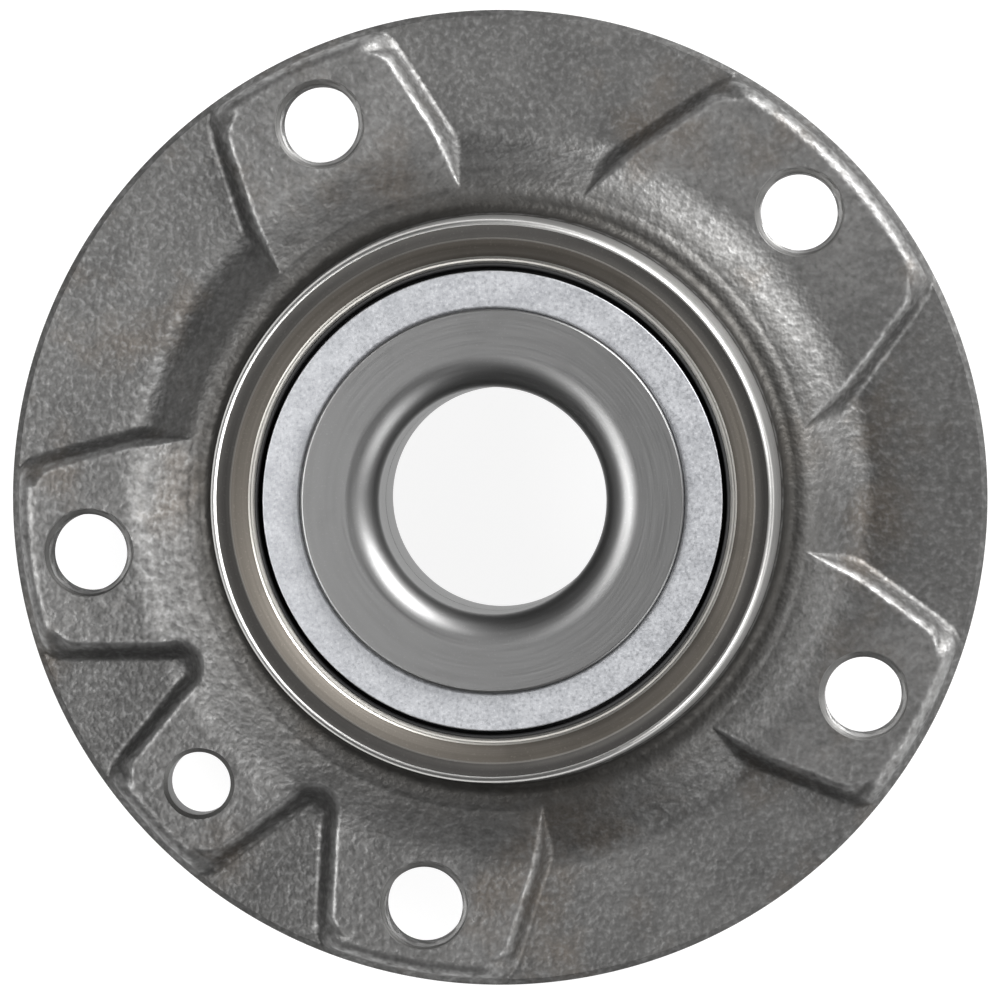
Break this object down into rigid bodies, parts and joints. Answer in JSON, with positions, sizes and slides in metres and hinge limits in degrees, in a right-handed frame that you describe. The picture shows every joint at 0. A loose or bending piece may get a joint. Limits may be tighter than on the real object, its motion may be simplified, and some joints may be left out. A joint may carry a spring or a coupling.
{
  "type": "wheel hub bearing",
  "caption": "Rear wheel hub bearing: the flanged outer ring turns on two angular-contact ball rows round fixed inner rings, with a seal at each end and threaded wheel-bolt holes.",
  "frame": {"origin": "on the bearing axis, in the plane of the flange's outboard face, where the disc and wheel seat", "axes": "+Z along the bearing axis, inboard, towards the knuckle and the camera of the picture; +X to the right and +Y up in the picture"},
  "size_m": [0.132, 0.132, 0.06],
  "materials": {
    "forged_steel": "matt forged",
    "ground_steel": "ground",
    "zinc_plate": "zinc plated",
    "pressed_steel": "pressed",
    "seal_rubber": "matt",
    "cage_plastic": "moulded",
    "ball_steel": "polished"
  },
  "bodies": {
    "axle_side": {"inner_ring_inboard": "ground_steel", "inner_ring_outboard": "ground_steel", "inner_ring_clip": "ground_steel", "flinger_inboard": "zinc_plate", "flinger_outboard": "zinc_plate"},
    "hub": {"hub_flange": "forged_steel", "seal_case_inboard": "pressed_steel", "seal_case_outboard": "pressed_steel", "seal_lip_inboard": "seal_rubber", "seal_lip_outboard": "seal_rubber"},
    "cage_row_inboard": {"cage_inboard": "cage_plastic"},
    "cage_row_outboard": {"cage_outboard": "cage_plastic"},
    "ball_inboard_01_body": {"ball_inboard_01": "ball_steel"},
    "ball_inboard_02_body": {"ball_inboard_02": "ball_steel"},
    "ball_inboard_03_body": {"ball_inboard_03": "ball_steel"},
    "ball_inboard_04_body": {"ball_inboard_04": "ball_steel"},
    "ball_inboard_05_body": {"ball_inboard_05": "ball_steel"},
    "ball_inboard_06_body": {"ball_inboard_06": "ball_steel"},
    "ball_inboard_07_body": {"ball_inboard_07": "ball_steel"},
    "ball_inboard_08_body": {"ball_inboard_08": "ball_steel"},
    "ball_inboard_09_body": {"ball_inboard_09": "ball_steel"},
    "ball_inboard_10_body": {"ball_inboard_10": "ball_steel"},
    "ball_inboard_11_body": {"ball_inboard_11": "ball_steel"},
    "ball_inboard_12_body": {"ball_inboard_12": "ball_steel"},
    "ball_inboard_13_body": {"ball_inboard_13": "ball_steel"},
    "ball_outboard_01_body": {"ball_outboard_01": "ball_steel"},
    "ball_outboard_02_body": {"ball_outboard_02": "ball_steel"},
    "ball_outboard_03_body": {"ball_outboard_03": "ball_steel"},
    "ball_outboard_04_body": {"ball_outboard_04": "ball_steel"},
    "ball_outboard_05_body": {"ball_outboard_05": "ball_steel"},
    "ball_outboard_06_body": {"ball_outboard_06": "ball_steel"},
    "ball_outboard_07_body": {"ball_outboard_07": "ball_steel"},
    "ball_outboard_08_body": {"ball_outboard_08": "ball_steel"},
    "ball_outboard_09_body": {"ball_outboard_09": "ball_steel"},
    "ball_outboard_10_body": {"ball_outboard_10": "ball_steel"},
    "ball_outboard_11_body": {"ball_outboard_11": "ball_steel"},
    "ball_outboard_12_body": {"ball_outboard_12": "ball_steel"},
    "ball_outboard_13_body": {"ball_outboard_13": "ball_steel"}
  },
  "joints": [
    {"name": "hub_spin", "type": "hinge", "parent": "axle_side", "child": "hub", "pos_m": [0, 0, 0], "axis": [0, 0, 1], "continuous": true},
    {"name": "cage_inboard_spin", "type": "hinge", "parent": "axle_side", "child": "cage_row_inboard", "pos_m": [0, 0, 0.0275], "axis": [0, 0, 1], "continuous": true},
    {"name": "cage_outboard_spin", "type": "hinge", "parent": "axle_side", "child": "cage_row_outboard", "pos_m": [0, 0, 0.0065], "axis": [0, 0, 1], "continuous": true},
    {"name": "ball_inboard_01_roll", "type": "hinge", "parent": "cage_row_inboard", "child": "ball_inboard_01_body", "pos_m": [0.0246, 0, 0.0275], "axis": [0.6157, 0, 0.788], "continuous": true},
    {"name": "ball_inboard_02_roll", "type": "hinge", "parent": "cage_row_inboard", "child": "ball_inboard_02_body", "pos_m": [0.02178, 0.01143, 0.0275], "axis": [0.5451, 0.2861, 0.788], "continuous": true},
    {"name": "ball_inboard_03_roll", "type": "hinge", "parent": "cage_row_inboard", "child": "ball_inboard_03_body", "pos_m": [0.01397, 0.02025, 0.0275], "axis": [0.3497, 0.5067, 0.788], "continuous": true},
    {"name": "ball_inboard_04_roll", "type": "hinge", "parent": "cage_row_inboard", "child": "ball_inboard_04_body", "pos_m": [0.00297, 0.02442, 0.0275], "axis": [0.0742, 0.6112, 0.788], "continuous": true},
    {"name": "ball_inboard_05_roll", "type": "hinge", "parent": "cage_row_inboard", "child": "ball_inboard_05_body", "pos_m": [-0.00872, 0.023, 0.0275], "axis": [-0.2183, 0.5757, 0.788], "continuous": true},
    {"name": "ball_inboard_06_roll", "type": "hinge", "parent": "cage_row_inboard", "child": "ball_inboard_06_body", "pos_m": [-0.01841, 0.01631, 0.0275], "axis": [-0.4608, 0.4083, 0.788], "continuous": true},
    {"name": "ball_inboard_07_roll", "type": "hinge", "parent": "cage_row_inboard", "child": "ball_inboard_07_body", "pos_m": [-0.02389, 0.00589, 0.0275], "axis": [-0.5978, 0.1473, 0.788], "continuous": true},
    {"name": "ball_inboard_08_roll", "type": "hinge", "parent": "cage_row_inboard", "child": "ball_inboard_08_body", "pos_m": [-0.02389, -0.00589, 0.0275], "axis": [-0.5978, -0.1473, 0.788], "continuous": true},
    {"name": "ball_inboard_09_roll", "type": "hinge", "parent": "cage_row_inboard", "child": "ball_inboard_09_body", "pos_m": [-0.01841, -0.01631, 0.0275], "axis": [-0.4608, -0.4083, 0.788], "continuous": true},
    {"name": "ball_inboard_10_roll", "type": "hinge", "parent": "cage_row_inboard", "child": "ball_inboard_10_body", "pos_m": [-0.00872, -0.023, 0.0275], "axis": [-0.2183, -0.5757, 0.788], "continuous": true},
    {"name": "ball_inboard_11_roll", "type": "hinge", "parent": "cage_row_inboard", "child": "ball_inboard_11_body", "pos_m": [0.00297, -0.02442, 0.0275], "axis": [0.0742, -0.6112, 0.788], "continuous": true},
    {"name": "ball_inboard_12_roll", "type": "hinge", "parent": "cage_row_inboard", "child": "ball_inboard_12_body", "pos_m": [0.01397, -0.02025, 0.0275], "axis": [0.3497, -0.5067, 0.788], "continuous": true},
    {"name": "ball_inboard_13_roll", "type": "hinge", "parent": "cage_row_inboard", "child": "ball_inboard_13_body", "pos_m": [0.02178, -0.01143, 0.0275], "axis": [0.5451, -0.2861, 0.788], "continuous": true},
    {"name": "ball_outboard_01_roll", "type": "hinge", "parent": "cage_row_outboard", "child": "ball_outboard_01_body", "pos_m": [0.0246, 0, 0.0065], "axis": [-0.6157, 0, 0.788], "continuous": true},
    {"name": "ball_outboard_02_roll", "type": "hinge", "parent": "cage_row_outboard", "child": "ball_outboard_02_body", "pos_m": [0.02178, 0.01143, 0.0065], "axis": [-0.5451, -0.2861, 0.788], "continuous": true},
    {"name": "ball_outboard_03_roll", "type": "hinge", "parent": "cage_row_outboard", "child": "ball_outboard_03_body", "pos_m": [0.01397, 0.02025, 0.0065], "axis": [-0.3497, -0.5067, 0.788], "continuous": true},
    {"name": "ball_outboard_04_roll", "type": "hinge", "parent": "cage_row_outboard", "child": "ball_outboard_04_body", "pos_m": [0.00297, 0.02442, 0.0065], "axis": [-0.0742, -0.6112, 0.788], "continuous": true},
    {"name": "ball_outboard_05_roll", "type": "hinge", "parent": "cage_row_outboard", "child": "ball_outboard_05_body", "pos_m": [-0.00872, 0.023, 0.0065], "axis": [0.2183, -0.5757, 0.788], "continuous": true},
    {"name": "ball_outboard_06_roll", "type": "hinge", "parent": "cage_row_outboard", "child": "ball_outboard_06_body", "pos_m": [-0.01841, 0.01631, 0.0065], "axis": [0.4608, -0.4083, 0.788], "continuous": true},
    {"name": "ball_outboard_07_roll", "type": "hinge", "parent": "cage_row_outboard", "child": "ball_outboard_07_body", "pos_m": [-0.02389, 0.00589, 0.0065], "axis": [0.5978, -0.1473, 0.788], "continuous": true},
    {"name": "ball_outboard_08_roll", "type": "hinge", "parent": "cage_row_outboard", "child": "ball_outboard_08_body", "pos_m": [-0.02389, -0.00589, 0.0065], "axis": [0.5978, 0.1473, 0.788], "continuous": true},
    {"name": "ball_outboard_09_roll", "type": "hinge", "parent": "cage_row_outboard", "child": "ball_outboard_09_body", "pos_m": [-0.01841, -0.01631, 0.0065], "axis": [0.4608, 0.4083, 0.788], "continuous": true},
    {"name": "ball_outboard_10_roll", "type": "hinge", "parent": "cage_row_outboard", "child": "ball_outboard_10_body", "pos_m": [-0.00872, -0.023, 0.0065], "axis": [0.2183, 0.5757, 0.788], "continuous": true},
    {"name": "ball_outboard_11_roll", "type": "hinge", "parent": "cage_row_outboard", "child": "ball_outboard_11_body", "pos_m": [0.00297, -0.02442, 0.0065], "axis": [-0.0742, 0.6112, 0.788], "continuous": true},
    {"name": "ball_outboard_12_roll", "type": "hinge", "parent": "cage_row_outboard", "child": "ball_outboard_12_body", "pos_m": [0.01397, -0.02025, 0.0065], "axis": [-0.3497, 0.5067, 0.788], "continuous": true},
    {"name": "ball_outboard_13_roll", "type": "hinge", "parent": "cage_row_outboard", "child": "ball_outboard_13_body", "pos_m": [0.02178, -0.01143, 0.0065], "axis": [-0.5451, 0.2861, 0.788], "continuous": true}
  ],
  "couplings": [
    {"joint": "cage_inboard_spin", "follows": "hub_spin", "ratio": 0.57628},
    {"joint": "cage_outboard_spin", "follows": "hub_spin", "ratio": 0.57628},
    {"joint": "ball_inboard_01_roll", "follows": "hub_spin", "ratio": 2.5226},
    {"joint": "ball_inboard_02_roll", "follows": "hub_spin", "ratio": 2.5226},
    {"joint": "ball_inboard_03_roll", "follows": "hub_spin", "ratio": 2.5226},
    {"joint": "ball_inboard_04_roll", "follows": "hub_spin", "ratio": 2.5226},
    {"joint": "ball_inboard_05_roll", "follows": "hub_spin", "ratio": 2.5226},
    {"joint": "ball_inboard_06_roll", "follows": "hub_spin", "ratio": 2.5226},
    {"joint": "ball_inboard_07_roll", "follows": "hub_spin", "ratio": 2.5226},
    {"joint": "ball_inboard_08_roll", "follows": "hub_spin", "ratio": 2.5226},
    {"joint": "ball_inboard_09_roll", "follows": "hub_spin", "ratio": 2.5226},
    {"joint": "ball_inboard_10_roll", "follows": "hub_spin", "ratio": 2.5226},
    {"joint": "ball_inboard_11_roll", "follows": "hub_spin", "ratio": 2.5226},
    {"joint": "ball_inboard_12_roll", "follows": "hub_spin", "ratio": 2.5226},
    {"joint": "ball_inboard_13_roll", "follows": "hub_spin", "ratio": 2.5226},
    {"joint": "ball_outboard_01_roll", "follows": "hub_spin", "ratio": 2.5226},
    {"joint": "ball_outboard_02_roll", "follows": "hub_spin", "ratio": 2.5226},
    {"joint": "ball_outboard_03_roll", "follows": "hub_spin", "ratio": 2.5226},
    {"joint": "ball_outboard_04_roll", "follows": "hub_spin", "ratio": 2.5226},
    {"joint": "ball_outboard_05_roll", "follows": "hub_spin", "ratio": 2.5226},
    {"joint": "ball_outboard_06_roll", "follows": "hub_spin", "ratio": 2.5226},
    {"joint": "ball_outboard_07_roll", "follows": "hub_spin", "ratio": 2.5226},
    {"joint": "ball_outboard_08_roll", "follows": "hub_spin", "ratio": 2.5226},
    {"joint": "ball_outboard_09_roll", "follows": "hub_spin", "ratio": 2.5226},
    {"joint": "ball_outboard_10_roll", "follows": "hub_spin", "ratio": 2.5226},
    {"joint": "ball_outboard_11_roll", "follows": "hub_spin", "ratio": 2.5226},
    {"joint": "ball_outboard_12_roll", "follows": "hub_spin", "ratio": 2.5226},
    {"joint": "ball_outboard_13_roll", "follows": "hub_spin", "ratio": 2.5226}
  ]
}
